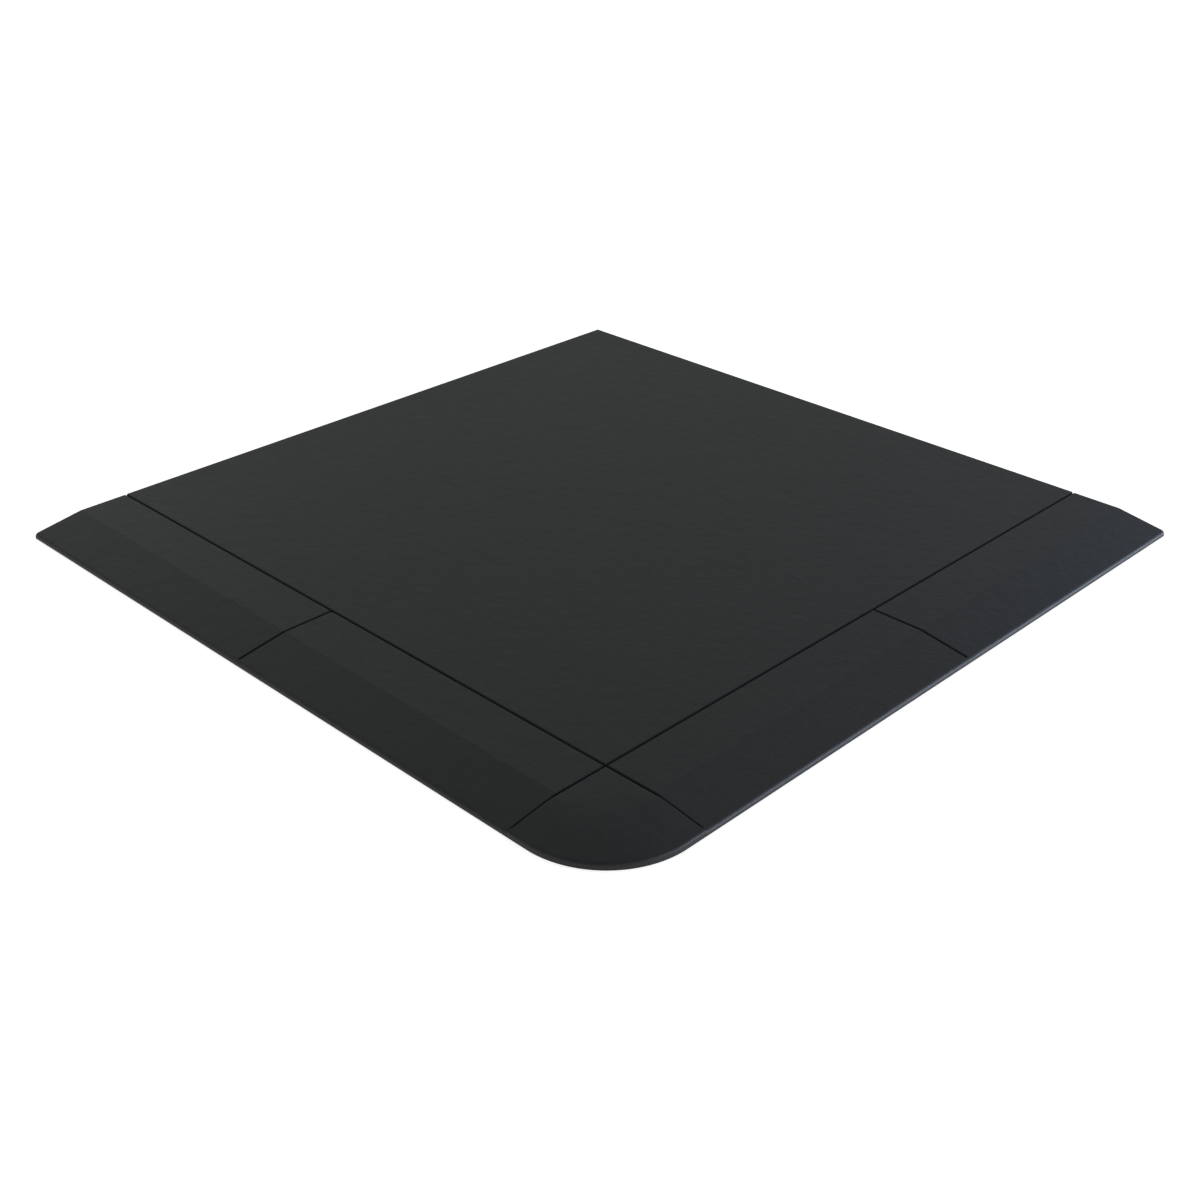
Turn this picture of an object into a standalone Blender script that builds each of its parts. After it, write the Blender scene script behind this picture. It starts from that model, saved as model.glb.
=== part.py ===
"""A modular anti-fatigue mat: a laminated standing tile with ramp strips along two sides, a rounded
corner ramp between them, and bow-tie keys that join the modules from below.

Metres, +Z up. The mat lies on z = 0. Its front is -Y, and the corner ramp is at +X, -Y.
Run it with: blender --background --python part.py
"""

import math

import bmesh
import bpy
from mathutils import Matrix

# Modules
TILE_SIDE = 1.000
THICKNESS = 0.0185
JOINT_GAP = 0.0005  # between neighbouring modules
RAMP_FLAT = 0.0755  # level part of a ramp, next to the tile
RAMP_SLOPE = 0.0760  # sloping part of a ramp, measured along the floor
LIP_HEIGHT = 0.0068  # where the slope would meet the outer face
CORNER_RADIUS = 0.120  # of the corner ramp's outline
EDGE_ROUND = 0.0025  # on the modules' top edges
EDGE_STEPS = 3
STRIPS_PER_SIDE = 2

# The tile's laminate: a wear layer on a foam core, with a grip sheet in a recess underneath
WEAR_THICKNESS = 0.0030
GRIP_THICKNESS = 0.0015
GRIP_INSET = 0.025  # keeps the recess clear of the key pockets
LAYER_GAP = 0.0003  # glue line

# The corner ramp's surface, which is fuller than the strips'
CORNER_FLAT = 0.0895  # level part, along its seams
CORNER_LIP_HEIGHT = 0.0085
CORNER_RAYS = 20  # steps round the corner
CORNER_SOFT_START = 0.040  # the level part is quite flat this near the inner corner
CORNER_SOFTNESS = 0.0065  # how far, in height, the shoulder's rounding reaches
SEAM_FADE = 20.0  # degrees over which the sharp crease fades into the shoulder
CORNER_RINGS = 12

# Joining keys, and the pockets that take them
KEY_REACH = 0.020  # from the joint to the key's end
KEY_END_WIDTH = 0.026
KEY_NECK_WIDTH = 0.014
KEY_BOTTOM = 0.0004  # clear of the floor
KEY_TOP = 0.0092
KEY_EDGE_ROUND = 0.0008
POCKET_CLEARANCE = 0.0004
KEYS_PER_SIDE = 4
CUTTER_OVERRUN = 0.002  # below the floor plane

RAMP_WIDTH = RAMP_FLAT + RAMP_SLOPE
STRIP_LENGTH = (TILE_SIDE - (STRIPS_PER_SIDE - 1) * JOINT_GAP) / STRIPS_PER_SIDE
HALF_SPAN = (TILE_SIDE + JOINT_GAP + RAMP_WIDTH) / 2
TILE_LEFT = -HALF_SPAN
TILE_RIGHT = TILE_LEFT + TILE_SIDE
TILE_REAR = HALF_SPAN
TILE_FRONT = TILE_REAR - TILE_SIDE
RAMP_INNER_X = TILE_RIGHT + JOINT_GAP  # inner edge of the side ramps and of the corner
RAMP_INNER_Y = TILE_FRONT - JOINT_GAP  # inner edge of the front ramps and of the corner
POCKET_TOP = KEY_TOP + POCKET_CLEARANCE
SAME_PLACE = 1e-6

CHARCOAL = (0.033, 0.035, 0.036)
FOAM_BLACK = (0.018, 0.018, 0.019)
GRIP_BLACK = (0.010, 0.010, 0.011)
KEY_GREY = (0.060, 0.062, 0.065)


def clear_scene():
    for obj in list(bpy.data.objects):
        bpy.data.objects.remove(obj)


def new_collection(name):
    collection = bpy.data.collections.new(name)
    bpy.context.scene.collection.children.link(collection)
    return collection


def principled(name, colour, roughness):
    material = bpy.data.materials.new(name)
    material.use_nodes = True
    shader = material.node_tree.nodes["Principled BSDF"]
    shader.inputs["Base Color"].default_value = (*colour, 1.0)
    shader.inputs["Roughness"].default_value = roughness
    shader.inputs["Metallic"].default_value = 0.0
    return material


def add_part(name, mesh, collection, colour, roughness):
    part = bpy.data.objects.new(name, mesh)
    collection.objects.link(part)
    part.data.materials.append(principled(name + "_material", colour, roughness))
    return part


def prism(name, outline, thickness):
    """A mesh of the closed outline, extruded by half the thickness to each side of z = 0."""
    curve = bpy.data.curves.new(name, "CURVE")
    curve.dimensions = "2D"
    curve.fill_mode = "BOTH"
    curve.extrude = thickness / 2
    spline = curve.splines.new("POLY")
    spline.points.add(len(outline) - 1)
    for point, (x, y) in zip(spline.points, outline):
        point.co = (x, y, 0.0, 1.0)
    spline.use_cyclic_u = True
    drawn = bpy.data.objects.new(name, curve)
    bpy.context.scene.collection.objects.link(drawn)
    bpy.context.view_layer.update()
    graph = bpy.context.evaluated_depsgraph_get()
    mesh = bpy.data.meshes.new_from_object(drawn.evaluated_get(graph))
    bpy.data.objects.remove(drawn)
    bpy.data.curves.remove(curve)
    shape = bmesh.new()
    shape.from_mesh(mesh)
    bmesh.ops.remove_doubles(shape, verts=shape.verts, dist=SAME_PLACE)
    bmesh.ops.dissolve_limit(
        shape, angle_limit=math.radians(0.1), verts=shape.verts, edges=shape.edges
    )
    bmesh.ops.recalc_face_normals(shape, faces=shape.faces)
    shape.to_mesh(mesh)
    shape.free()
    return mesh


def slab(name, bottom, top, inset=0.0):
    """A mesh of the tile's square between two heights, smaller by the inset all round."""
    mesh = bpy.data.meshes.new(name)
    shape = bmesh.new()
    bmesh.ops.create_cube(shape, size=1.0)
    side = TILE_SIDE - 2 * inset
    bmesh.ops.scale(shape, vec=(side, side, top - bottom), verts=shape.verts)
    middle = (
        (TILE_LEFT + TILE_RIGHT) / 2,
        (TILE_FRONT + TILE_REAR) / 2,
        (bottom + top) / 2,
    )
    bmesh.ops.translate(shape, vec=middle, verts=shape.verts)
    shape.to_mesh(mesh)
    shape.free()
    return mesh


def round_edges(part, chosen):
    """Rounds the edges whose two ends satisfy chosen(a, b)."""
    shape = bmesh.new()
    shape.from_mesh(part.data)
    weight = shape.edges.layers.float.new("bevel_weight_edge")
    for edge in shape.edges:
        first, second = (vertex.co for vertex in edge.verts)
        edge[weight] = 1.0 if chosen(first, second) else 0.0
    shape.to_mesh(part.data)
    shape.free()
    bevel = part.modifiers.new("rounded_top_edges", "BEVEL")
    bevel.limit_method = "WEIGHT"
    bevel.width = EDGE_ROUND
    bevel.segments = EDGE_STEPS


def cut_away(part, cutter):
    cut = part.modifiers.new("cut_by_" + cutter.name, "BOOLEAN")
    cut.operation = "DIFFERENCE"
    cut.solver = "EXACT"
    cut.object = cutter


def add_cutter(name, mesh, collection):
    cutter = bpy.data.objects.new(name, mesh)
    collection.objects.link(cutter)
    cutter.hide_render = True
    cutter.display_type = "WIRE"
    return cutter


# Joining keys


def bow_tie(clearance):
    """A bow-tie along X with its neck at the origin, grown by the clearance on every side."""
    reach = KEY_REACH + clearance
    end = KEY_END_WIDTH / 2 + clearance
    neck = KEY_NECK_WIDTH / 2 + clearance
    return [(-reach, -end), (0, -neck), (reach, -end), (reach, end), (0, neck), (-reach, end)]


def along_side(start, count, index):
    """The place of one of count equal shares of the tile's side."""
    return start + TILE_SIDE * (index + 0.5) / count


def key_places():
    """Where each key lies: its name to (x, y, turn), and the turn is 90 degrees along Y."""
    joint_x = TILE_RIGHT + JOINT_GAP / 2
    joint_y = TILE_FRONT - JOINT_GAP / 2
    ramp_middle_x = RAMP_INNER_X + RAMP_FLAT / 2
    ramp_middle_y = RAMP_INNER_Y - RAMP_FLAT / 2
    places = {}
    for index in range(KEYS_PER_SIDE):
        x = along_side(TILE_LEFT, KEYS_PER_SIDE, index)
        y = along_side(TILE_FRONT, KEYS_PER_SIDE, index)
        places[f"front_tile_key_{index + 1}"] = (x, joint_y, 90)
        places[f"side_tile_key_{index + 1}"] = (joint_x, y, 0)
    places["front_ramp_key"] = ((TILE_LEFT + TILE_RIGHT) / 2, ramp_middle_y, 0)
    places["side_ramp_key"] = (ramp_middle_x, (TILE_FRONT + TILE_REAR) / 2, 90)
    places["front_corner_key"] = (joint_x, ramp_middle_y, 0)
    places["side_corner_key"] = (ramp_middle_x, joint_y, 90)
    return places


def free_pocket_places():
    """The pockets without a key, on the sides where another module could be added."""
    rear = TILE_REAR + JOINT_GAP / 2
    left = TILE_LEFT - JOINT_GAP / 2
    places = [
        (left, RAMP_INNER_Y - RAMP_FLAT / 2, 0),
        (RAMP_INNER_X + RAMP_FLAT / 2, rear, 90),
    ]
    for index in range(KEYS_PER_SIDE):
        places.append((along_side(TILE_LEFT, KEYS_PER_SIDE, index), rear, 90))
        places.append((left, along_side(TILE_FRONT, KEYS_PER_SIDE, index), 0))
    return places


def make_pocket_cutter(collection):
    """One mesh with a bow-tie prism for every pocket."""
    height = POCKET_TOP + CUTTER_OVERRUN
    pocket = prism("pocket", bow_tie(POCKET_CLEARANCE), height)
    shape = bmesh.new()
    for x, y, turn in list(key_places().values()) + free_pocket_places():
        before = len(shape.verts)
        shape.from_mesh(pocket)
        shape.verts.ensure_lookup_table()
        place = Matrix.Translation((x, y, POCKET_TOP - height / 2))
        place @= Matrix.Rotation(math.radians(turn), 4, "Z")
        bmesh.ops.transform(shape, matrix=place, verts=shape.verts[before:])
    shape.to_mesh(pocket)
    shape.free()
    return add_cutter("key_pockets", pocket, collection)


def make_keys(collection):
    for name, (x, y, turn) in key_places().items():
        mesh = prism(name, bow_tie(0.0), KEY_TOP - KEY_BOTTOM)
        key = add_part(name, mesh, collection, KEY_GREY, 0.6)
        key.location = (x, y, (KEY_BOTTOM + KEY_TOP) / 2)
        key.rotation_euler = (0, 0, math.radians(turn))
        bevel = key.modifiers.new("rounded_edges", "BEVEL")
        bevel.width = KEY_EDGE_ROUND
        bevel.segments = 2


# The tile


def make_tile(collection, cutters, pockets):
    wear_bottom = THICKNESS - WEAR_THICKNESS
    wear = add_part(
        "tile_wear_layer",
        slab("tile_wear_layer", wear_bottom, THICKNESS),
        collection,
        CHARCOAL,
        0.85,
    )
    at_top = THICKNESS - SAME_PLACE
    round_edges(wear, lambda a, b: min(a.z, b.z) > at_top)
    core = add_part(
        "tile_foam_core",
        slab("tile_foam_core", 0.0, wear_bottom - LAYER_GAP),
        collection,
        FOAM_BLACK,
        0.95,
    )
    recess = slab("grip_recess", -CUTTER_OVERRUN, GRIP_THICKNESS + LAYER_GAP, GRIP_INSET)
    cut_away(core, add_cutter("grip_recess", recess, cutters))
    cut_away(core, pockets)
    add_part(
        "tile_grip_base",
        slab("tile_grip_base", 0.0, GRIP_THICKNESS, GRIP_INSET + LAYER_GAP),
        collection,
        GRIP_BLACK,
        0.9,
    )


# The ramps


def make_strip(name, collection, pockets, inner_middle, turn):
    """A ramp strip that runs along X and slopes down towards -Y before it is turned and placed."""
    profile = [
        (0.0, 0.0),
        (RAMP_WIDTH, 0.0),
        (RAMP_WIDTH, LIP_HEIGHT),
        (RAMP_FLAT, THICKNESS),
        (0.0, THICKNESS),
    ]
    mesh = prism(name, profile, STRIP_LENGTH)
    # The profile's x runs out towards -Y, and its y runs up.
    mesh.transform(Matrix(((0, 0, -1, 0), (-1, 0, 0, 0), (0, 1, 0, 0), (0, 0, 0, 1))))
    strip = add_part(name, mesh, collection, CHARCOAL, 0.85)
    strip.location = (*inner_middle, 0.0)
    strip.rotation_euler = (0, 0, math.radians(turn))

    def is_top_edge(a, b):
        across = abs(a.y - b.y) > SAME_PLACE
        lip_or_inner = abs(a.y) < SAME_PLACE or abs(a.y + RAMP_WIDTH) < SAME_PLACE
        return min(a.z, b.z) > SAME_PLACE and (across or lip_or_inner)

    round_edges(strip, is_top_edge)
    cut_away(strip, pockets)


def make_strips(collection, pockets):
    pitch = STRIP_LENGTH + JOINT_GAP
    for index, (front, side) in enumerate((("left", "front"), ("right", "rear"))):
        offset = STRIP_LENGTH / 2 + index * pitch
        place = (TILE_LEFT + offset, RAMP_INNER_Y)
        make_strip("front_ramp_" + front, collection, pockets, place, 0)
        place = (RAMP_INNER_X, TILE_FRONT + offset)
        make_strip("side_ramp_" + side, collection, pockets, place, 90)


def corner_outline():
    """Points of the corner ramp's outer edge, from its end on the X axis round to the Y axis.
    The inner corner is the origin, and both axes run outwards."""
    centre = RAMP_WIDTH - CORNER_RADIUS
    points = [(RAMP_WIDTH, 0.0)]
    for step in range(CORNER_RAYS + 1):
        angle = math.radians(90.0 * step / CORNER_RAYS)
        x = centre + CORNER_RADIUS * math.cos(angle)
        y = centre + CORNER_RADIUS * math.sin(angle)
        points.append((x, y))
    points.append((0.0, RAMP_WIDTH))
    return points


def corner_height(fraction, angle):
    """Height of the corner ramp at a fraction of the way out from its inner corner. At the seams it
    has a sharp crease, which fades into a soft shoulder between them."""
    crease = CORNER_FLAT / RAMP_WIDTH
    fall = THICKNESS - CORNER_LIP_HEIGHT
    slope = THICKNESS - fall * (fraction - crease) / (1.0 - crease)
    from_seam = min(angle, 90.0 - angle)
    softness = CORNER_SOFTNESS * min(from_seam / SEAM_FADE, 1.0)
    lowest = min(THICKNESS, slope)
    if softness <= 0.0:
        return lowest
    overlap = max(softness - abs(THICKNESS - slope), 0.0) / softness
    return lowest - overlap * overlap * softness / 4


def corner_fractions():
    """Rings from the edge of the flat part out to the lip, with one on the crease."""
    crease = CORNER_FLAT / RAMP_WIDTH
    start = CORNER_SOFT_START / RAMP_WIDTH
    half = CORNER_RINGS // 2
    rings = [start + (crease - start) * step / half for step in range(half)]
    rings += [crease + (1.0 - crease) * step / half for step in range(half + 1)]
    return rings


def make_corner(collection, pockets):
    """Lofted round the inner corner, because its section changes from ray to ray."""
    shape = bmesh.new()
    outline = corner_outline()
    rings = corner_fractions()
    inner_top = shape.verts.new((0, 0, THICKNESS))
    inner_bottom = shape.verts.new((0, 0, 0))
    top = []
    bottom = []
    for x, y in outline:
        angle = math.degrees(math.atan2(y, x))
        ray = [(x * ring, -y * ring, corner_height(ring, angle)) for ring in rings]
        top.append([shape.verts.new(point) for point in ray])
        bottom.append(shape.verts.new((x, -y, 0)))
    for this, following in zip(top, top[1:]):
        for ring in range(len(rings) - 1):
            shape.faces.new((this[ring], this[ring + 1], following[ring + 1], following[ring]))
    for index in range(len(outline) - 1):
        shape.faces.new(
            (top[index][-1], bottom[index], bottom[index + 1], top[index + 1][-1])
        )
    shape.faces.new([inner_top] + [ray[0] for ray in top])
    shape.faces.new([inner_bottom] + bottom)
    shape.faces.new([inner_bottom, inner_top] + top[0] + [bottom[0]])
    shape.faces.new([inner_bottom, inner_top] + top[-1] + [bottom[-1]])
    bmesh.ops.recalc_face_normals(shape, faces=shape.faces)
    mesh = bpy.data.meshes.new("corner_ramp")
    shape.to_mesh(mesh)
    shape.free()
    corner = add_part("corner_ramp", mesh, collection, CHARCOAL, 0.85)
    corner.location = (RAMP_INNER_X, RAMP_INNER_Y, 0.0)
    lip = {(round(x, 6), round(-y, 6)) for x, y in outline}

    def on_lip(point):
        return (round(point.x, 6), round(point.y, 6)) in lip

    def is_top_edge(a, b):
        along_seam = max(abs(a.x), abs(b.x)) < SAME_PLACE or max(abs(a.y), abs(b.y)) < SAME_PLACE
        return min(a.z, b.z) > SAME_PLACE and (along_seam or (on_lip(a) and on_lip(b)))

    round_edges(corner, is_top_edge)
    cut_away(corner, pockets)


def main():
    clear_scene()
    mat = new_collection("anti_fatigue_mat")
    cutters = new_collection("cutters")
    pockets = make_pocket_cutter(cutters)
    make_tile(mat, cutters, pockets)
    make_strips(mat, pockets)
    make_corner(mat, pockets)
    make_keys(mat)


main()
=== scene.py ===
"""The looks of the anti-fatigue mat: finer meshes for its soft modules, procedural materials, a plain
white floor, soft studio light and the camera.

Metres, +Z up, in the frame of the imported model. The front of the mat is -Y, its right side is +X, and
the rounded corner ramp is at +X, -Y.
"""

import math

import bmesh
import bpy
from mathutils import Matrix, Vector, noise


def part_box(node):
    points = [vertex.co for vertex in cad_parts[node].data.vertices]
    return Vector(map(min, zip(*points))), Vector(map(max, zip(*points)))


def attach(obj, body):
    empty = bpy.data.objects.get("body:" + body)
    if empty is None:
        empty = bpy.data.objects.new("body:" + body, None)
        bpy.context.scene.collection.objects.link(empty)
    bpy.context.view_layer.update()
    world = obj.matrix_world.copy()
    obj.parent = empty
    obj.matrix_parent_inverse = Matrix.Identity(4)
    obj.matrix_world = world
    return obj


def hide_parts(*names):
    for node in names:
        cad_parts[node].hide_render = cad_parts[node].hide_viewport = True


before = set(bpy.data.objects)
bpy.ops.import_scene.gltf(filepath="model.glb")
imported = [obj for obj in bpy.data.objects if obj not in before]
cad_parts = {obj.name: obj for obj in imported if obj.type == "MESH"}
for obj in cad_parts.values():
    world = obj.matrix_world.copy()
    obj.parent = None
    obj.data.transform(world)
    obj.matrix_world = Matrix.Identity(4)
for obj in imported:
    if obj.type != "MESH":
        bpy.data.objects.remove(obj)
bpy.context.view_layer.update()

# Places and sizes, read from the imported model
WEAR_LOW, WEAR_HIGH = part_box("tile_wear_layer")
CORE_LOW, CORE_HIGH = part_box("tile_foam_core")
GRIP_LOW, GRIP_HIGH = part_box("tile_grip_base")
CORNER_LOW, CORNER_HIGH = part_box("corner_ramp")
THICKNESS = WEAR_HIGH.z
TILE_SIDE = WEAR_HIGH.x - WEAR_LOW.x
JOINT_GAP = CORNER_LOW.x - WEAR_HIGH.x
RAMP_WIDTH = CORNER_HIGH.x - CORNER_LOW.x

# The ramps' section, as the CAD model has it
RAMP_FLAT = 0.0755
LIP_HEIGHT = 0.0068
CORNER_RADIUS = 0.120

# Rounded edges and moulding draft
SEAM_ROUND = 0.0024  # top edges along a joint
TIGHT_ROUND = 0.00012  # the same edges down at the lip, where a joint shows no groove
FREE_ROUND = 0.0009  # top edges that meet nothing
LIP_ROUND = 0.0055
CORNER_LIP_ROUND = 0.0040
FOOT_ROUND = 0.0003
END_ROUND = 0.0030  # a strip's upright edge at its free end, seen from above
END_ROUND_REACH = 0.012  # how far in from the lip that rounding is seen
END_DROP_FADE = 0.2  # power that keeps a free end's top rounding full until close to the lip
CREASE_ROUND = 0.0060
ROUND_STEPS = 6
LIP_STEPS = 9
SMALL_STEPS = 3  # at the crease and the foot
DRAFT = 0.0005  # how far a joint face leans back at the top
TIGHTER_JOINT = 0.00015  # each strip is this much longer at a joint than in CAD
WAIST = 0.0052  # height from which a ramp's joint face leans back
SEAM_END = 0.1480  # distance from the tile at which a joint's groove has closed
SEAM_CLOSING = 0.0030  # length over which it closes
SHARP_ANGLE = math.radians(32)  # an edge that is sharper than this isn't shaded smooth
TURNED_EDGE = 1.0  # radians; the wear layer's edges that are bevelled are sharper than this
TINY = 1e-6

# Joining keys' pockets
KEYS_PER_SIDE = 4
POCKET_REACH = 0.0204  # from the joint's middle to either end
POCKET_END_WIDTH = 0.0268
POCKET_NECK_WIDTH = 0.0148
POCKET_TOP = 0.0096
CUT_OVERRUN = 0.002  # how far a cutting shape goes past the floor

# Undersides
RIB_PITCH = 0.0060
RIB_DEPTH = 0.0006
RIB_GROOVE = ((0.30, 0.0), (0.40, 1.0), (0.60, 1.0), (0.70, 0.0))  # shares of pitch and depth
RIBS_START = 0.004  # from a ramp's inner edge
RIBS_END = 0.006  # from its foot

# The corner ramp's surface
CORNER_FLAT = 0.0895  # level part along its seams
CORNER_LIP_HEIGHT = 0.0085
CORNER_RINGS = 12  # on the level part, and again on the slope
CORNER_RAYS = 36
CORNER_FLAT_START = 0.040  # from the inner corner to the first ring, along its seams
SEAM_SOFTNESS = 0.0012  # height over which its shoulder rounds off at the seams
CORNER_SOFTNESS = 0.0070  # the same between them
SEAM_FADE = 30.0  # degrees from a seam over which the one turns into the other

# The foam core
FOAM_PULL_IN = 0.0006  # of its free sides, half way up
FOAM_STEP = 0.005  # between points along its free sides
FOAM_UNEVEN = 0.00012  # depth
FOAM_WAVES = (60.0, 240.0)  # scales of the unevenness
FOAM_RINGS = (0.0, 0.0006, 0.0018, 0.0040, LIP_HEIGHT, 0.0090, 0.0115, 0.0135, 0.0147)  # heights
GRIP_CLEARANCE = 0.0003  # round and above the grip sheet in its recess
GRIP_INSET = GRIP_LOW.x - CORE_LOW.x
GRIP_RECESS = GRIP_HIGH.z + GRIP_CLEARANCE

# Rubber
RUBBER_ROUGHNESS = 0.55
ROUGHNESS_SPREAD = 0.03
RUBBER_GLOSS = 0.30
GRAIN_DEPTH = 0.0005
GRAIN_STRENGTH = 0.50
FINE_SHARE = 0.25  # of the finest grain in the rubber's height
PIT_SHARE = 0.7  # of the pits in the finest grain
WAVE_DEPTH = 0.0012  # of the broad unevenness under the grain
WAVE_STRENGTH = 0.50
SCUFF_POLISH = 0.05  # how much less rough scuffed rubber is
GROOVE_ROUGHNESS = 0.25  # how much rougher the rubber is down in a joint, where painted shade darkens it
SCUFF_SLANT = (0.5, 0.9)  # how slanted the rubber is where wear starts and where it's full
GROOVE_TURN = (0.12, 0.70)  # how far it has turned into a joint where the painted shade starts and is full

# Tones, from dark to light, as linear RGB
RUBBER_TONES = ((0.0088,) * 3, (0.0137,) * 3)
RUBBER_SCUFFED = (0.018,) * 3
# painted shade: the tone the rubber is darkened to down in a joint, where shadow falls
RUBBER_SEAM_SHADE = (0.0045,) * 3
FOAM_TONES = ((0.006, 0.006, 0.0065), (0.024, 0.024, 0.025))
GRIP_TONES = ((0.010, 0.010, 0.011), (0.055, 0.052, 0.048))
KEY_TONES = ((0.050, 0.052, 0.055), (0.066, 0.068, 0.071))
KEY_SCUFFED = (0.12, 0.12, 0.125)
KEY_POLISH = 0.12  # how much less rough a key's scuffed edges are

# Camera
CAMERA_PLACE = (1.4993, -1.5261, 1.0908)
CAMERA_TARGET = (0.1298, -0.1343, 0.0)
CAMERA_LENS = 49.91
CAMERA_SENSOR = 36.0
CAMERA_ROLL = math.radians(0.08)

# Lights: name, azimuth, elevation, distance, size, and radiance in red, green and blue
LIGHTS = (
    ("left_back", 270, 20, 3.4, (2.4, 1.4), (0.39, 0.44, 0.38)),
    ("right_back", 170, 20, 3.4, (2.4, 1.4), (0.23, 0.40, 0.70)),
    ("left_front", 0, 12, 7.0, (4.0, 2.4), (0.75, 1.05, 1.35)),
    ("left_low", 315, 7, 7.0, (5.2, 1.5), (0.94, 0.91, 0.98)),
    ("right_front", 95, 12, 7.0, (4.0, 2.4), (2.80, 3.25, 3.60)),
    ("right_low", 135, 3.5, 7.0, (5.2, 0.6), (34.6, 40.0, 51.0)),
)

# Room and floor
ROOM_BACK = (0.588, 0.607, 0.592)
ROOM_CAMERA_SIDE = (0.160, 0.177, 0.212)
TO_BACK = (-0.7071, 0.7071, 0.0)
BACKDROP = (1.0, 1.0, 1.0)
FLOOR_RADIUS = 30.0
FLOOR_SEGMENTS = 96
FLOOR_COLOUR = (0.9, 0.9, 0.9)
FLOOR_ROUGHNESS = 0.85
FLOOR_GLOW = (0.624, 0.575, 0.531)  # light that the floor gives the mat
FLOOR_SEEN = (0.69, 0.67, 0.65)  # the same as the camera sees it, which keeps the floor white far off

# Ramp strips: node, turn in degrees, the end that no other ramp meets, and body
STRIPS = (
    ("front_ramp_left", 0, "start", "front_left_ramp"),
    ("front_ramp_right", 0, None, "front_right_ramp"),
    ("side_ramp_front", 90, None, "side_front_ramp"),
    ("side_ramp_rear", 90, "end", "side_rear_ramp"),
)


def share_between(value, start, end):
    """0 at start or before it, and 1 at end or past it. The end may be the lower one."""
    return min(max((value - start) / (end - start), 0.0), 1.0)


# Camera, lights and floor


def make_camera():
    data = bpy.data.cameras.new("camera")
    data.sensor_width = CAMERA_SENSOR
    data.lens = CAMERA_LENS
    camera = bpy.data.objects.new("camera", data)
    bpy.context.scene.collection.objects.link(camera)
    camera.location = CAMERA_PLACE
    away = Vector(CAMERA_TARGET) - camera.location
    aim = away.to_track_quat("-Z", "Y").to_matrix() @ Matrix.Rotation(CAMERA_ROLL, 3, "Z")
    camera.rotation_euler = aim.to_euler()
    bpy.context.scene.camera = camera


def soft_light(name, azimuth, elevation, distance, size, radiance):
    """A rectangular soft light aimed at the mat. Azimuth 0 is in front of it (-Y), 90 at its right."""
    data = bpy.data.lights.new(name, "AREA")
    data.shape = "RECTANGLE"
    data.size, data.size_y = size
    strongest = max(radiance)
    data.color = [value / strongest for value in radiance]
    data.energy = strongest * math.pi * size[0] * size[1]
    light = bpy.data.objects.new(name, data)
    bpy.context.scene.collection.objects.link(light)
    turn = math.radians(azimuth)
    rise = math.radians(elevation)
    flat = math.cos(rise)
    direction = Vector((math.sin(turn) * flat, -math.cos(turn) * flat, math.sin(rise)))
    light.location = direction * distance
    light.rotation_euler = direction.to_track_quat("Z", "Y").to_euler()
    light.visible_camera = False


def make_lights():
    for row in LIGHTS:
        soft_light(*row)


def make_world():
    """Soft light from all round, stronger from behind the mat. The camera sees a plain white backdrop
    in its place."""
    world = bpy.data.worlds.new("studio")
    world.use_nodes = True
    tree = world.node_tree
    room = tree.nodes["Background"]
    towards = add_node(tree, "ShaderNodeTexCoord", {}).outputs["Generated"]
    behind = add_node(tree, "ShaderNodeVectorMath", {}, operation="DOT_PRODUCT")
    tree.links.new(towards, behind.inputs[0])
    behind.inputs[1].default_value = TO_BACK
    share = remap(tree, behind.outputs["Value"], -1.0, 1.0)
    tree.links.new(blend_colours(tree, share, ROOM_CAMERA_SIDE, ROOM_BACK), room.inputs["Color"])
    seen = add_node(tree, "ShaderNodeBackground", {"Color": (*BACKDROP, 1)})
    mix = add_node(tree, "ShaderNodeMixShader", {})
    tree.links.new(add_node(tree, "ShaderNodeLightPath", {}).outputs["Is Camera Ray"], mix.inputs[0])
    tree.links.new(room.outputs[0], mix.inputs[1])
    tree.links.new(seen.outputs[0], mix.inputs[2])
    tree.links.new(mix.outputs[0], tree.nodes["World Output"].inputs["Surface"])
    bpy.context.scene.world = world


def make_floor():
    shape = bmesh.new()
    bmesh.ops.create_circle(shape, cap_ends=True, segments=FLOOR_SEGMENTS, radius=FLOOR_RADIUS)
    mesh = bpy.data.meshes.new("floor")
    shape.to_mesh(mesh)
    shape.free()
    floor = bpy.data.objects.new("floor", mesh)
    bpy.context.scene.collection.objects.link(floor)
    material, shader = new_material("floor_white", FLOOR_ROUGHNESS)
    shader.inputs["Base Color"].default_value = (*FLOOR_COLOUR, 1)
    tree = material.node_tree
    seen = add_node(tree, "ShaderNodeLightPath", {}).outputs["Is Camera Ray"]
    glow = blend_colours(tree, seen, FLOOR_GLOW, FLOOR_SEEN)
    tree.links.new(glow, shader.inputs["Emission Color"])
    shader.inputs["Emission Strength"].default_value = 1.0
    floor.data.materials.append(material)


# Materials


def new_material(name, roughness):
    """A material and its shader. A texture that is linked later takes the roughness's place."""
    material = bpy.data.materials.new(name)
    material.use_nodes = True
    shader = material.node_tree.nodes["Principled BSDF"]
    shader.inputs["Roughness"].default_value = roughness
    return material, shader


def add_node(tree, kind, inputs, **settings):
    """Adds a node; an input is a value, or another node's output, which is linked to it."""
    node = tree.nodes.new(kind)
    for name, value in settings.items():
        setattr(node, name, value)
    for name, value in inputs.items():
        if isinstance(value, bpy.types.NodeSocket):
            tree.links.new(value, node.inputs[name])
        else:
            node.inputs[name].default_value = value
    return node


def noise_value(tree, place, scale, detail, roughness=0.5):
    inputs = {"Vector": place, "Scale": scale, "Detail": detail, "Roughness": roughness}
    return add_node(tree, "ShaderNodeTexNoise", inputs).outputs["Fac"]


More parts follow.
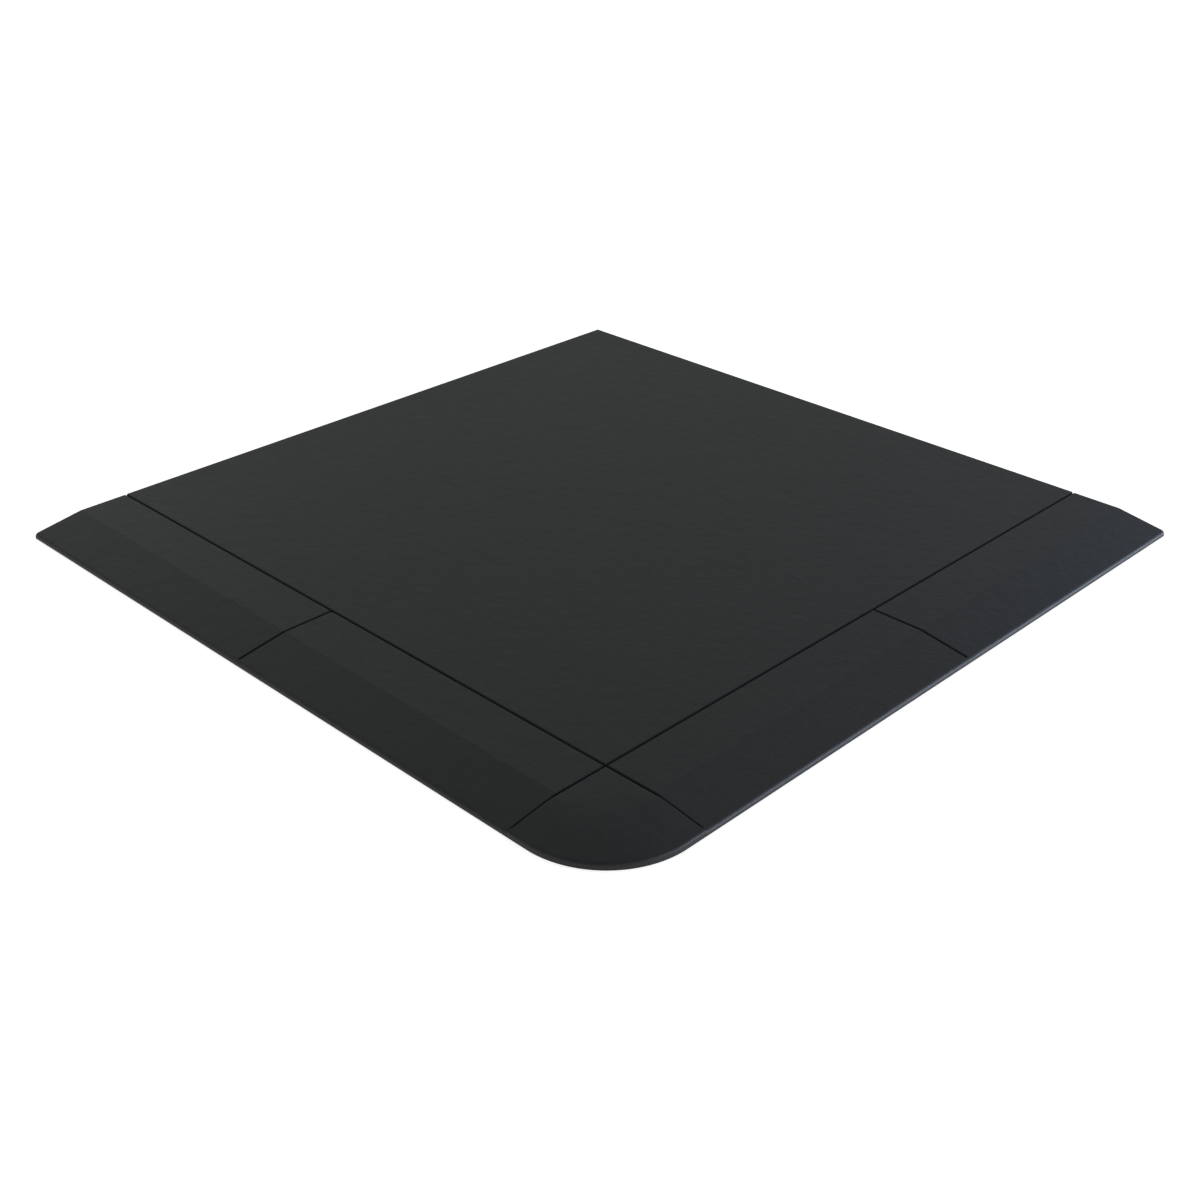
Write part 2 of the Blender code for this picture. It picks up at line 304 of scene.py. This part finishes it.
def cell_distance(tree, place, scale):
    inputs = {"Vector": place, "Scale": scale}
    return add_node(tree, "ShaderNodeTexVoronoi", inputs).outputs["Distance"]


def remap(tree, value, low, high, to_low=0.0, to_high=1.0):
    inputs = {
        "Value": value,
        "From Min": low,
        "From Max": high,
        "To Min": to_low,
        "To Max": to_high,
    }
    return add_node(tree, "ShaderNodeMapRange", inputs).outputs["Result"]


def combine(tree, first, second, operation="ADD"):
    node = add_node(tree, "ShaderNodeMath", {}, operation=operation)
    for socket, value in zip(node.inputs, (first, second)):
        if isinstance(value, bpy.types.NodeSocket):
            tree.links.new(value, socket)
        else:
            socket.default_value = value
    return node.outputs["Value"]


def scaled(tree, value, factor):
    return combine(tree, value, factor, "MULTIPLY")


def blend_colours(tree, share, first, second):
    """A colour between first and second; each is an RGB tuple or another node's output."""
    node = add_node(tree, "ShaderNodeMix", {"Factor": share}, data_type="RGBA")
    for name, value in (("A", first), ("B", second)):
        socket = [item for item in node.inputs if item.name == name and item.type == "RGBA"][0]
        if isinstance(value, bpy.types.NodeSocket):
            tree.links.new(value, socket)
        else:
            socket.default_value = (*value, 1)
    return [item for item in node.outputs if item.type == "RGBA"][0]


def add_bump(tree, height, distance, strength, under=None):
    inputs = {"Height": height, "Distance": distance, "Strength": strength}
    if under is not None:
        inputs["Normal"] = under
    return add_node(tree, "ShaderNodeBump", inputs).outputs["Normal"]


def object_place(tree):
    return add_node(tree, "ShaderNodeTexCoord", {}).outputs["Object"]


def rubber(name):
    """Matte moulded rubber: soft mottling, a fine closed grain, edges a little paler with use, and
    painted shade that darkens it down in its joints."""
    material, shader = new_material(name, RUBBER_ROUGHNESS)
    shader.inputs["Specular IOR Level"].default_value = RUBBER_GLOSS
    tree = material.node_tree
    place = object_place(tree)
    clouds = noise_value(tree, place, scale=5.0, detail=3.0)
    mottle = noise_value(tree, place, scale=48.0, detail=2.0)
    pebbles = noise_value(tree, place, scale=170.0, detail=2.0)
    grain = noise_value(tree, place, scale=620.0, detail=2.0, roughness=0.6)
    pits = cell_distance(tree, place, scale=900.0)
    tint = combine(tree, combine(tree, clouds, mottle), combine(tree, pebbles, grain))
    share = remap(tree, tint, 1.5, 2.5)
    colour = blend_colours(tree, share, *RUBBER_TONES)
    wear = add_node(tree, "ShaderNodeAttribute", {}, attribute_name="wear").outputs["Fac"]
    patches = noise_value(tree, place, scale=130.0, detail=3.0, roughness=0.65)
    worn = combine(tree, wear, remap(tree, patches, 0.35, 0.75, 0.15, 1.0), "MULTIPLY")
    colour = blend_colours(tree, worn, colour, RUBBER_SCUFFED)
    # Painted shade: down in a joint the colour goes darker and the rubber rougher
    groove = add_node(tree, "ShaderNodeAttribute", {}, attribute_name="groove").outputs["Fac"]
    colour = blend_colours(tree, groove, colour, RUBBER_SEAM_SHADE)
    tree.links.new(colour, shader.inputs["Base Color"])
    matte = remap(tree, combine(tree, mottle, grain), 0.6, 1.4, -ROUGHNESS_SPREAD, ROUGHNESS_SPREAD)
    matte = combine(tree, matte, RUBBER_ROUGHNESS)
    matte = combine(tree, matte, scaled(tree, worn, SCUFF_POLISH), "SUBTRACT")
    matte = combine(tree, matte, scaled(tree, groove, GROOVE_ROUGHNESS))
    tree.links.new(matte, shader.inputs["Roughness"])
    uneven = add_bump(tree, combine(tree, clouds, mottle), WAVE_DEPTH, WAVE_STRENGTH)
    fine = combine(tree, grain, scaled(tree, pits, PIT_SHARE))
    height = combine(tree, pebbles, scaled(tree, fine, FINE_SHARE))
    normal = add_bump(tree, height, GRAIN_DEPTH, GRAIN_STRENGTH, uneven)
    tree.links.new(normal, shader.inputs["Normal"])
    return material


def foam(name):
    """Cut closed-cell foam: round cells of two sizes with lighter walls, and a cloudy tint."""
    material, shader = new_material(name, roughness=0.9)
    shader.inputs["Specular IOR Level"].default_value = 0.2
    tree = material.node_tree
    place = object_place(tree)
    large = cell_distance(tree, place, scale=620.0)
    small = cell_distance(tree, place, scale=1500.0)
    clouds = noise_value(tree, place, scale=30.0, detail=3.0)
    cells = combine(tree, large, scaled(tree, small, 0.5))
    tint = combine(tree, cells, scaled(tree, clouds, 0.6))
    colour = blend_colours(tree, remap(tree, tint, 0.4, 1.3), *FOAM_TONES)
    tree.links.new(colour, shader.inputs["Base Color"])
    matte = remap(tree, clouds, 0.3, 0.7, 0.84, 0.96)
    tree.links.new(matte, shader.inputs["Roughness"])
    uneven = add_bump(tree, clouds, distance=0.0008, strength=0.4)
    normal = add_bump(tree, cells, distance=0.0004, strength=0.7, under=uneven)
    tree.links.new(normal, shader.inputs["Normal"])
    return material


def grip(name):
    """Soft grip rubber: a fine pebbled grain, dusty in patches."""
    material, shader = new_material(name, roughness=0.8)
    shader.inputs["Specular IOR Level"].default_value = 0.3
    tree = material.node_tree
    place = object_place(tree)
    pebbles = cell_distance(tree, place, scale=700.0)
    dust = noise_value(tree, place, scale=14.0, detail=4.0, roughness=0.6)
    fine = noise_value(tree, place, scale=1400.0, detail=2.0)
    share = combine(tree, remap(tree, dust, 0.42, 0.75, 0.0, 0.8), pebbles, "MULTIPLY")
    colour = blend_colours(tree, share, *GRIP_TONES)
    tree.links.new(colour, shader.inputs["Base Color"])
    matte = remap(tree, combine(tree, dust, fine), 0.6, 1.4, 0.72, 0.90)
    tree.links.new(matte, shader.inputs["Roughness"])
    normal = add_bump(tree, combine(tree, fine, pebbles), distance=0.0002, strength=0.5)
    tree.links.new(normal, shader.inputs["Normal"])
    return material


def moulded_plastic(name):
    """Textured mould finish, with edges polished by handling."""
    material, shader = new_material(name, roughness=0.45)
    tree = material.node_tree
    place = object_place(tree)
    flow = noise_value(tree, place, scale=35.0, detail=3.0)
    texture = noise_value(tree, place, scale=1600.0, detail=2.0, roughness=0.6)
    share = remap(tree, combine(tree, flow, texture), 0.7, 1.3)
    colour = blend_colours(tree, share, *KEY_TONES)
    sharp = add_node(tree, "ShaderNodeNewGeometry", {}).outputs["Pointiness"]
    scratches = noise_value(tree, place, scale=260.0, detail=3.0, roughness=0.7)
    worn = combine(tree, remap(tree, sharp, 0.52, 0.60), scratches, "MULTIPLY")
    colour = blend_colours(tree, worn, colour, KEY_SCUFFED)
    tree.links.new(colour, shader.inputs["Base Color"])
    matte = remap(tree, combine(tree, flow, scratches), 0.7, 1.3, 0.38, 0.56)
    matte = combine(tree, matte, scaled(tree, worn, KEY_POLISH), "SUBTRACT")
    tree.links.new(matte, shader.inputs["Roughness"])
    uneven = add_bump(tree, flow, distance=0.0003, strength=0.2)
    normal = add_bump(tree, texture, distance=0.00006, strength=0.6, under=uneven)
    tree.links.new(normal, shader.inputs["Normal"])
    return material


# Meshes


def add_piece(name, shape, material):
    """A shown piece from a bmesh, which is freed."""
    mesh = bpy.data.meshes.new(name)
    shape.to_mesh(mesh)
    shape.free()
    piece = bpy.data.objects.new(name, mesh)
    bpy.context.scene.collection.objects.link(piece)
    mesh.materials.append(material)
    return piece


def apply_modifiers(piece):
    graph = bpy.context.evaluated_depsgraph_get()
    mesh = bpy.data.meshes.new_from_object(piece.evaluated_get(graph))
    piece.modifiers.clear()
    old = piece.data
    piece.data = mesh
    bpy.data.meshes.remove(old)


def mark_edges(mesh, joint_ways):
    """Stores how far each point above the waist turns into a joint, where the rubber gets painted
    shade, and how worn a point is, which is most half way round its other top edges."""
    wear = mesh.attributes.new("wear", "FLOAT", "POINT")
    groove = mesh.attributes.new("groove", "FLOAT", "POINT")
    for vertex, worn, turned in zip(mesh.vertices, wear.data, groove.data):
        up = max(vertex.normal.z, 0.0)
        slant = 2.0 * up * math.sqrt(max(1.0 - up * up, 0.0))
        towards = max([vertex.normal.dot(way) for way in joint_ways] + [0.0])
        if vertex.co.z < WAIST - TINY:
            towards = 0.0
        turned.value = share_between(towards, *GROOVE_TURN)
        worn.value = share_between(slant, *SCUFF_SLANT) * (1.0 - turned.value)


def smooth(piece, joint_ways=()):
    """Smooth shading with sharp edges kept. joint_ways are the ways that the piece's joints face."""
    mark_edges(piece.data, joint_ways)
    piece.data.shade_smooth()
    piece.data.set_sharp_from_angle(angle=SHARP_ANGLE)
    weighted = piece.modifiers.new("even_normals", "WEIGHTED_NORMAL")
    weighted.keep_sharp = True
    weighted.weight = 100


def bevel_edges(shape, edges, radius):
    bmesh.ops.bevel(
        shape,
        geom=edges,
        offset=radius,
        segments=ROUND_STEPS,
        profile=0.5,
        affect="EDGES",
        clamp_overlap=True,
    )


def prism(outline, low, high):
    """A bmesh of the outline in XY, between two heights."""
    shape = bmesh.new()
    face = shape.faces.new([shape.verts.new((x, y, low)) for x, y in outline])
    up = bmesh.ops.extrude_face_region(shape, geom=[face])
    tops = [item for item in up["geom"] if isinstance(item, bmesh.types.BMVert)]
    bmesh.ops.translate(shape, vec=(0, 0, high - low), verts=tops)
    bmesh.ops.recalc_face_normals(shape, faces=shape.faces)
    return shape


# Pockets


def bow_tie():
    """The outline of a pocket that lies along X, about its middle."""
    reach = POCKET_REACH
    end = POCKET_END_WIDTH / 2
    neck = POCKET_NECK_WIDTH / 2
    return [(-reach, -end), (0, -neck), (reach, -end), (reach, end), (0, neck), (-reach, end)]


def pocket_places():
    """(x, y, turn) of every pocket; the turn is 90 degrees where its key lies along Y."""
    front = WEAR_LOW.y - JOINT_GAP / 2
    rear = WEAR_HIGH.y + JOINT_GAP / 2
    left = WEAR_LOW.x - JOINT_GAP / 2
    right = WEAR_HIGH.x + JOINT_GAP / 2
    row_y = CORNER_HIGH.y - RAMP_FLAT / 2
    row_x = CORNER_LOW.x + RAMP_FLAT / 2
    places = []
    for index in range(KEYS_PER_SIDE):
        along = TILE_SIDE * (index + 0.5) / KEYS_PER_SIDE
        places += [(WEAR_LOW.x + along, front, 90), (WEAR_LOW.x + along, rear, 90)]
        places += [(left, WEAR_LOW.y + along, 0), (right, WEAR_LOW.y + along, 0)]
    places += [(x, row_y, 0) for x in (left, (left + right) / 2, right)]
    places += [(row_x, y, 90) for y in (front, (front + rear) / 2, rear)]
    return places


def make_pocket_cutter():
    cutter = bmesh.new()
    for x, y, turn in pocket_places():
        one = prism(bow_tie(), -CUT_OVERRUN, POCKET_TOP)
        place = Matrix.Translation((x, y, 0)) @ Matrix.Rotation(math.radians(turn), 4, "Z")
        bmesh.ops.transform(one, matrix=place, verts=one.verts)
        mesh = bpy.data.meshes.new("pocket")
        one.to_mesh(mesh)
        one.free()
        cutter.from_mesh(mesh)
        bpy.data.meshes.remove(mesh)
    mesh = bpy.data.meshes.new("pockets")
    cutter.to_mesh(mesh)
    cutter.free()
    obj = bpy.data.objects.new("pockets", mesh)
    bpy.context.scene.collection.objects.link(obj)
    return obj


def cut_pockets(piece, cutter):
    cut = piece.modifiers.new("pockets", "BOOLEAN")
    cut.operation = "DIFFERENCE"
    cut.solver = "EXACT"
    cut.object = cutter
    bpy.context.view_layer.update()
    apply_modifiers(piece)


# Ramps


def ribbed_line(start, end):
    """Points of a ribbed underside between two distances; it starts and ends on the floor."""
    points = []
    count = int((end - start) / RIB_PITCH)
    pitch = (end - start) / count
    for index in range(count):
        left = start + index * pitch
        points += [(left + pitch * along, RIB_DEPTH * up) for along, up in RIB_GROOVE]
    return points


def fillet(before, corner, after, radius, steps):
    """Points that round a corner of an outline, from the side of before to the side of after."""
    corner = Vector(corner)
    inward = (Vector(before) - corner).normalized()
    onward = (Vector(after) - corner).normalized()
    half = inward.angle(onward) / 2
    centre = corner + (inward + onward).normalized() * radius / math.sin(half)
    start = corner + inward * radius / math.tan(half) - centre
    end = corner + onward * radius / math.tan(half) - centre
    turn = math.atan2(start.x * end.y - start.y * end.x, start.dot(end))
    return [tuple(centre + Matrix.Rotation(turn * step / steps, 2) @ start) for step in range(steps + 1)]


def height_share(height):
    """0 at the lip's height or below it, and 1 at the top of the mat."""
    return share_between(height, LIP_HEIGHT, THICKNESS)


def joint_edge(out, height, step):
    """(setback, drop) of a rounded joint edge at a distance from the tile, whose flat surface would be
    at a height: step 0 is on the joint face, and the last step is where the rounding ends. It's tight
    at the lip and underneath."""
    openness = share_between(out, SEAM_END, SEAM_END - SEAM_CLOSING) if height > WAIST else 0.0
    radius = TIGHT_ROUND + (SEAM_ROUND - TIGHT_ROUND) * openness
    angle = math.radians(90.0 * step / ROUND_STEPS)
    drop = radius * (1.0 - math.sin(angle)) if openness > 0.0 else 0.0
    return DRAFT * openness + radius * (1.0 - math.cos(angle)), drop


def free_edge(distance, radius):
    """How far a rounded surface has fallen at a distance from its free edge."""
    if distance >= radius:
        return 0.0
    return radius - math.sqrt(radius * radius - (radius - distance) ** 2)


def strip_section():
    """The ramp's section as (outward distance, height): the top from the rounded inner edge to the
    foot, and then the ribbed underside back to the start."""
    foot = (RAMP_WIDTH, 0.0)
    lip = (RAMP_WIDTH, LIP_HEIGHT)
    crease = (RAMP_FLAT, THICKNESS)
    top = []
    for step in range(ROUND_STEPS + 1):
        setback, drop = joint_edge(0.0, THICKNESS, step)
        top.append((setback, THICKNESS - drop))
    top += fillet((0.0, THICKNESS), crease, lip, CREASE_ROUND, SMALL_STEPS)
    closing = SEAM_END - SEAM_CLOSING
    fallen = share_between(closing, RAMP_FLAT, RAMP_WIDTH)
    top.append((closing, THICKNESS + (LIP_HEIGHT - THICKNESS) * fallen))
    top += fillet(crease, lip, foot, LIP_ROUND, LIP_STEPS)
    top += fillet(lip, foot, (0.0, 0.0), FOOT_ROUND, SMALL_STEPS)
    under = ribbed_line(RIBS_START, RAMP_WIDTH - RIBS_END)
    return top, under[::-1] + [(0.0, 0.0), (0.0, WAIST)]


def station(section, length, kind, step):
    """The section at a step of a strip's rounded end, as (along, out, up). A length of None is the
    strip's start. A joint end is leant and rounded, and a free end has a rounded upright edge."""
    points = []
    for out, up in section:
        if kind == "joint":
            setback, drop = joint_edge(out, up, step)
            along = setback - TIGHTER_JOINT
        else:
            along = END_ROUND * (1.0 - math.cos(math.radians(90.0 * step / ROUND_STEPS)))
            drop = free_edge(along, FREE_ROUND) * height_share(up) ** END_DROP_FADE
            near_lip = share_between(out, RAMP_WIDTH - END_ROUND_REACH, RAMP_WIDTH)
            out -= free_edge(along, END_ROUND) * near_lip
        points.append((along if length is None else length - along, out, up - drop))
    return points


def close_end(shape, top, rest, waist_place):
    """Closes an end of a ramp. Its face leans back from the waist up to the top points, and is flat
    below. rest goes on from the last top point and ends at the inner edge, at the waist's height;
    waist_place gives the point at that height below a top point."""
    upper = [vertex for vertex in top if vertex.co.z > WAIST]
    waist = [rest[-1]] + [shape.verts.new(waist_place(vertex.co)) for vertex in upper[1:]]
    for index in range(len(upper) - 1):
        after = index + 1
        shape.faces.new((upper[index], upper[after], waist[after], waist[index]))
    lower = top[len(upper) :]
    shape.faces.new((upper[-1], lower[0], waist[-1]))
    shape.faces.new(waist + lower + rest[:-1])


def make_strip(node, turn, free_end, material, cutter):
    """A ramp strip. It's made along X with its lip at -Y, then turned and placed.
    free_end is "start", "end" or None: the end that no other ramp meets."""
    low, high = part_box(node)
    length = (high.x - low.x) if turn == 0 else (high.y - low.y)
    top, under = strip_section()
    section = top + under
    kinds = ["free" if free_end == end else "joint" for end in ("start", "end")]
    steps = range(ROUND_STEPS + 1)
    stations = [station(section, None, kinds[0], step) for step in steps]
    stations += [station(section, length, kinds[1], step) for step in reversed(steps)]
    shape = bmesh.new()
    rings = [[shape.verts.new((x, -out, up)) for x, out, up in points] for points in stations]
    for this, following in zip(rings, rings[1:]):
        for index in range(len(section)):
            after = (index + 1) % len(section)
            shape.faces.new((this[index], this[after], following[after], following[index]))
    for ring, end in ((rings[0], stations[0][-1][0]), (rings[-1], stations[-1][-1][0])):
        close_end(shape, ring[: len(top)], ring[len(top) :], lambda co, x=end: (x, co.y, WAIST))
    bmesh.ops.recalc_face_normals(shape, faces=shape.faces)
    inner = (low.x, low.y, 0) if turn else (low.x, high.y, 0)
    place = Matrix.Translation(inner) @ Matrix.Rotation(math.radians(turn), 4, "Z")
    bmesh.ops.transform(shape, matrix=place, verts=shape.verts)
    strip = add_piece(node + "_rubber", shape, material)
    cut_pockets(strip, cutter)
    ways = [Vector((0, 1, 0))]
    if free_end != "start":
        ways.append(Vector((-1, 0, 0)))
    if free_end != "end":
        ways.append(Vector((1, 0, 0)))
    smooth(strip, [place.to_3x3() @ way for way in ways])
    return strip


def corner_height(fraction, angle):
    """Height of the corner ramp at a fraction of the way out from its inner corner. Its shoulder is
    tight at the seams and soft between them."""
    crease = CORNER_FLAT / RAMP_WIDTH
    fall = THICKNESS - CORNER_LIP_HEIGHT
    slope = THICKNESS - fall * (fraction - crease) / (1.0 - crease)
    fade = min(min(angle, 90.0 - angle) / SEAM_FADE, 1.0)
    fade = fade * fade * (3.0 - 2.0 * fade)
    softness = SEAM_SOFTNESS + (CORNER_SOFTNESS - SEAM_SOFTNESS) * fade
    lowest = min(THICKNESS, slope)
    overlap = max(softness - abs(THICKNESS - slope), 0.0) / softness
    return lowest - overlap * overlap * softness / 4


def corner_outline():
    """Points of the corner ramp's outer edge between its ends on the X and Y axes, which are left
    out. The inner corner is the origin, and both axes run outwards."""
    straight = RAMP_WIDTH - CORNER_RADIUS
    points = [(RAMP_WIDTH, straight / 2)]
    for step in range(CORNER_RAYS + 1):
        angle = math.radians(90.0 * step / CORNER_RAYS)
        x = straight + CORNER_RADIUS * math.cos(angle)
        y = straight + CORNER_RADIUS * math.sin(angle)
        points.append((x, y))
    points.append((straight / 2, RAMP_WIDTH))
    return points


def corner_ray(x, y):
    """The corner ramp's section along a ray to a point of its outline, as (distance, height)."""
    length = math.hypot(x, y)
    angle = math.degrees(math.atan2(y, x))
    start = CORNER_FLAT_START / RAMP_WIDTH
    crease = CORNER_FLAT / RAMP_WIDTH
    rings = [start + (crease - start) * step / CORNER_RINGS for step in range(CORNER_RINGS)]
    rings += [crease + (1.0 - crease) * step / CORNER_RINGS for step in range(CORNER_RINGS)]
    section = [(length * ring, corner_height(ring, angle)) for ring in rings]
    lip = (length, corner_height(1.0, angle))
    foot = (length, 0.0)
    section += fillet(section[-1], lip, foot, CORNER_LIP_ROUND, LIP_STEPS)
    section += fillet(lip, foot, (0.0, 0.0), FOOT_ROUND, SMALL_STEPS)
    return section


def corner_rows():
    """Rows of points out from the corner ramp's level part to its foot: the rounded edge of one
    seam, the rays, and the rounded edge of the other seam."""
    seam = []
    for step in range(ROUND_STEPS + 1):
        row = []
        for out, up in corner_ray(RAMP_WIDTH, 0.0):
            setback, drop = joint_edge(out, up, step)
            row.append((out, setback, up - drop))
        seam.append(row)
    middle = []
    for x, y in corner_outline():
        length = math.hypot(x, y)
        middle.append([(x / length * out, y / length * out, up) for out, up in corner_ray(x, y)])
    other = [[(y, x, up) for x, y, up in row] for row in reversed(seam)]
    return seam, middle, other


def make_corner(material, cutter):
    """The corner ramp, made of rows that fan out from its level part."""
    shape = bmesh.new()
    seam, middle, other = corner_rows()
    # Both axes run outwards in the rows; outwards is +X and -Y on the mat.
    rows = [[shape.verts.new((x, -y, up)) for x, y, up in row] for row in seam + middle + other]
    for this, following in zip(rows, rows[1:]):
        for ring in range(len(this) - 1):
            shape.faces.new((this[ring], this[ring + 1], following[ring + 1], following[ring]))
    inner = []
    for step in range(ROUND_STEPS + 1):
        setback, drop = joint_edge(0.0, THICKNESS, step)
        inner.append(shape.verts.new((setback, -setback, THICKNESS - drop)))
    for step in range(ROUND_STEPS):
        near, far = step, step + 1
        shape.faces.new((inner[near], rows[near][0], rows[far][0], inner[far]))
        shape.faces.new((inner[near], rows[-1 - near][0], rows[-1 - far][0], inner[far]))
    level = rows[ROUND_STEPS : len(rows) - ROUND_STEPS]
    shape.faces.new([inner[-1]] + [row[0] for row in level])
    bottom = shape.verts.new((0, 0, 0))
    waist = shape.verts.new((0, 0, WAIST))
    shape.faces.new([bottom] + [row[-1] for row in rows])
    front = [inner[0]] + rows[0]
    side = [inner[0]] + rows[-1]
    close_end(shape, front, [bottom, waist], lambda co: (co.x, 0, WAIST))
    close_end(shape, side, [bottom, waist], lambda co: (0, co.y, WAIST))
    bmesh.ops.recalc_face_normals(shape, faces=shape.faces)
    place = Matrix.Translation((CORNER_LOW.x, CORNER_HIGH.y, 0))
    bmesh.ops.transform(shape, matrix=place, verts=shape.verts)
    corner = add_piece("corner_ramp_rubber", shape, material)
    cut_pockets(corner, cutter)
    smooth(corner, [Vector((-1, 0, 0)), Vector((0, 1, 0))])
    return corner


# The tile


def square(low, high):
    return [(low.x, low.y), (high.x, low.y), (high.x, high.y), (low.x, high.y)]


def lean_joint_faces(shape):
    """Leans the tile's two joint faces back above the lip's height."""
    for vertex in shape.verts:
        setback = DRAFT * height_share(vertex.co.z)
        if abs(vertex.co.y - WEAR_LOW.y) < TINY:
            vertex.co.y += setback
        if abs(vertex.co.x - WEAR_HIGH.x) < TINY:
            vertex.co.x -= setback


def top_edges(shape, at_joint):
    """The sharp top edges of the wear layer on its joint sides, or on its free sides."""
    found = []
    for edge in shape.edges:
        first, second = (vertex.co for vertex in edge.verts)
        if min(first.z, second.z) < THICKNESS - TINY:
            continue
        middle = (first + second) / 2
        joint_side = middle.x > WEAR_HIGH.x - 2 * DRAFT or middle.y < WEAR_LOW.y + 2 * DRAFT
        if joint_side == at_joint and edge.calc_face_angle(0) > TURNED_EDGE:
            found.append(edge)
    return found


def make_wear_layer(material):
    """The tile's top sheet. Its joint edges are rounded like the ramps', and its free edges less."""
    shape = prism(square(WEAR_LOW, WEAR_HIGH), WEAR_LOW.z, WEAR_HIGH.z)
    lean_joint_faces(shape)
    bevel_edges(shape, top_edges(shape, True), SEAM_ROUND)
    bevel_edges(shape, top_edges(shape, False), FREE_ROUND)
    sheet = add_piece("tile_wear_sheet", shape, material)
    smooth(sheet, [Vector((1, 0, 0)), Vector((0, -1, 0))])
    return sheet


def foam_outline():
    """The core's outline, with points along its two free sides. Each point is (x, y, out_x, out_y),
    where out is the way a free side faces, and zero on a joint side."""
    low, high = CORE_LOW, CORE_HIGH
    count = round(TILE_SIDE / FOAM_STEP)
    points = [(low.x, low.y, 0, 0), (high.x, low.y, 0, 0), (high.x, high.y, 0, 0)]
    for step in range(1, count):
        points.append((high.x - TILE_SIDE * step / count, high.y, 0, 1))
    points.append((low.x, high.y, -1, 1))
    for step in range(1, count):
        points.append((low.x, high.y - TILE_SIDE * step / count, -1, 0))
    return points


def foam_inset(place):
    """How far a cut side of the foam lies behind the layers at a place: it draws in half way up, and
    it's a little uneven."""
    share = (place.z - CORE_LOW.z) / (CORE_HIGH.z - CORE_LOW.z)
    broad, fine = FOAM_WAVES
    uneven = noise.noise(place * broad) + 0.5 * noise.noise(place * fine)
    return FOAM_PULL_IN * (1.0 - (2.0 * share - 1.0) ** 4) + FOAM_UNEVEN * (1.0 + uneven)


def make_core(material, cutter):
    """The cut foam, with pockets for the keys and a recess underneath for the grip sheet."""
    outline = foam_outline()
    shape = bmesh.new()
    rings = []
    for height in (*FOAM_RINGS, CORE_HIGH.z):
        ring = []
        for x, y, out_x, out_y in outline:
            inset = foam_inset(Vector((x, y, height)))
            ring.append(shape.verts.new((x - out_x * inset, y - out_y * inset, height)))
        rings.append(ring)
    for this, following in zip(rings, rings[1:]):
        for index in range(len(outline)):
            after = (index + 1) % len(outline)
            shape.faces.new((this[index], this[after], following[after], following[index]))
    shape.faces.new(rings[0])
    shape.faces.new(rings[-1])
    lean_joint_faces(shape)
    bmesh.ops.recalc_face_normals(shape, faces=shape.faces)
    core = add_piece("tile_foam", shape, material)
    cut_pockets(core, cutter)
    inset = Vector((1, 1, 0)) * (GRIP_INSET - GRIP_CLEARANCE)
    outline = square(CORE_LOW + inset, CORE_HIGH - inset)
    recess = add_piece("recess", prism(outline, -CUT_OVERRUN, GRIP_RECESS), material)
    cut_pockets(core, recess)
    bpy.data.objects.remove(recess)
    smooth(core)
    return core


def make_grip_sheet(material):
    """The thin base sheet, with ribs underneath that run along Y."""
    width = GRIP_HIGH.x - GRIP_LOW.x
    points = [(0.0, GRIP_HIGH.z), (0.0, 0.0)]
    points += ribbed_line(0.0, width)
    points += [(width, 0.0), (width, GRIP_HIGH.z)]
    shape = prism(points, 0.0, GRIP_HIGH.y - GRIP_LOW.y)
    turned = Matrix(((1, 0, 0, GRIP_LOW.x), (0, 0, 1, GRIP_LOW.y), (0, 1, 0, 0), (0, 0, 0, 1)))
    bmesh.ops.transform(shape, matrix=turned, verts=shape.verts)
    bmesh.ops.recalc_face_normals(shape, faces=shape.faces)
    return add_piece("tile_grip_sheet", shape, material)


def main():
    bpy.context.scene.view_settings.view_transform = "Standard"
    make_camera()
    make_lights()
    make_world()
    make_floor()
    sheet_rubber = rubber("wear_rubber")
    ramp_rubber = rubber("ramp_rubber")
    foam_black = foam("core_foam")
    grip_black = grip("grip_rubber")
    key_grey = moulded_plastic("key_plastic")
    cutter = make_pocket_cutter()
    pieces = []
    for node, turn, free_end, body in STRIPS:
        strip = make_strip(node, turn, free_end, ramp_rubber, cutter)
        pieces.append((strip, body, node, "ramp_rubber"))
    corner = make_corner(ramp_rubber, cutter)
    pieces.append((corner, "corner", "corner_ramp", "ramp_rubber"))
    sheet = make_wear_layer(sheet_rubber)
    pieces.append((sheet, "tile", "tile_wear_layer", "wear_rubber"))
    core = make_core(foam_black, cutter)
    pieces.append((core, "tile", "tile_foam_core", "core_foam"))
    base = make_grip_sheet(grip_black)
    pieces.append((base, "tile", "tile_grip_base", "grip_rubber"))
    for piece, body, node, slot in pieces:
        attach(piece, body)
        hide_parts(node)
    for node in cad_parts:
        if node.endswith("_key") or "_key_" in node:
            key = bpy.data.objects[node]
            key.data.materials.clear()
            key.data.materials.append(key_grey)
    bpy.data.objects.remove(cutter)


main()
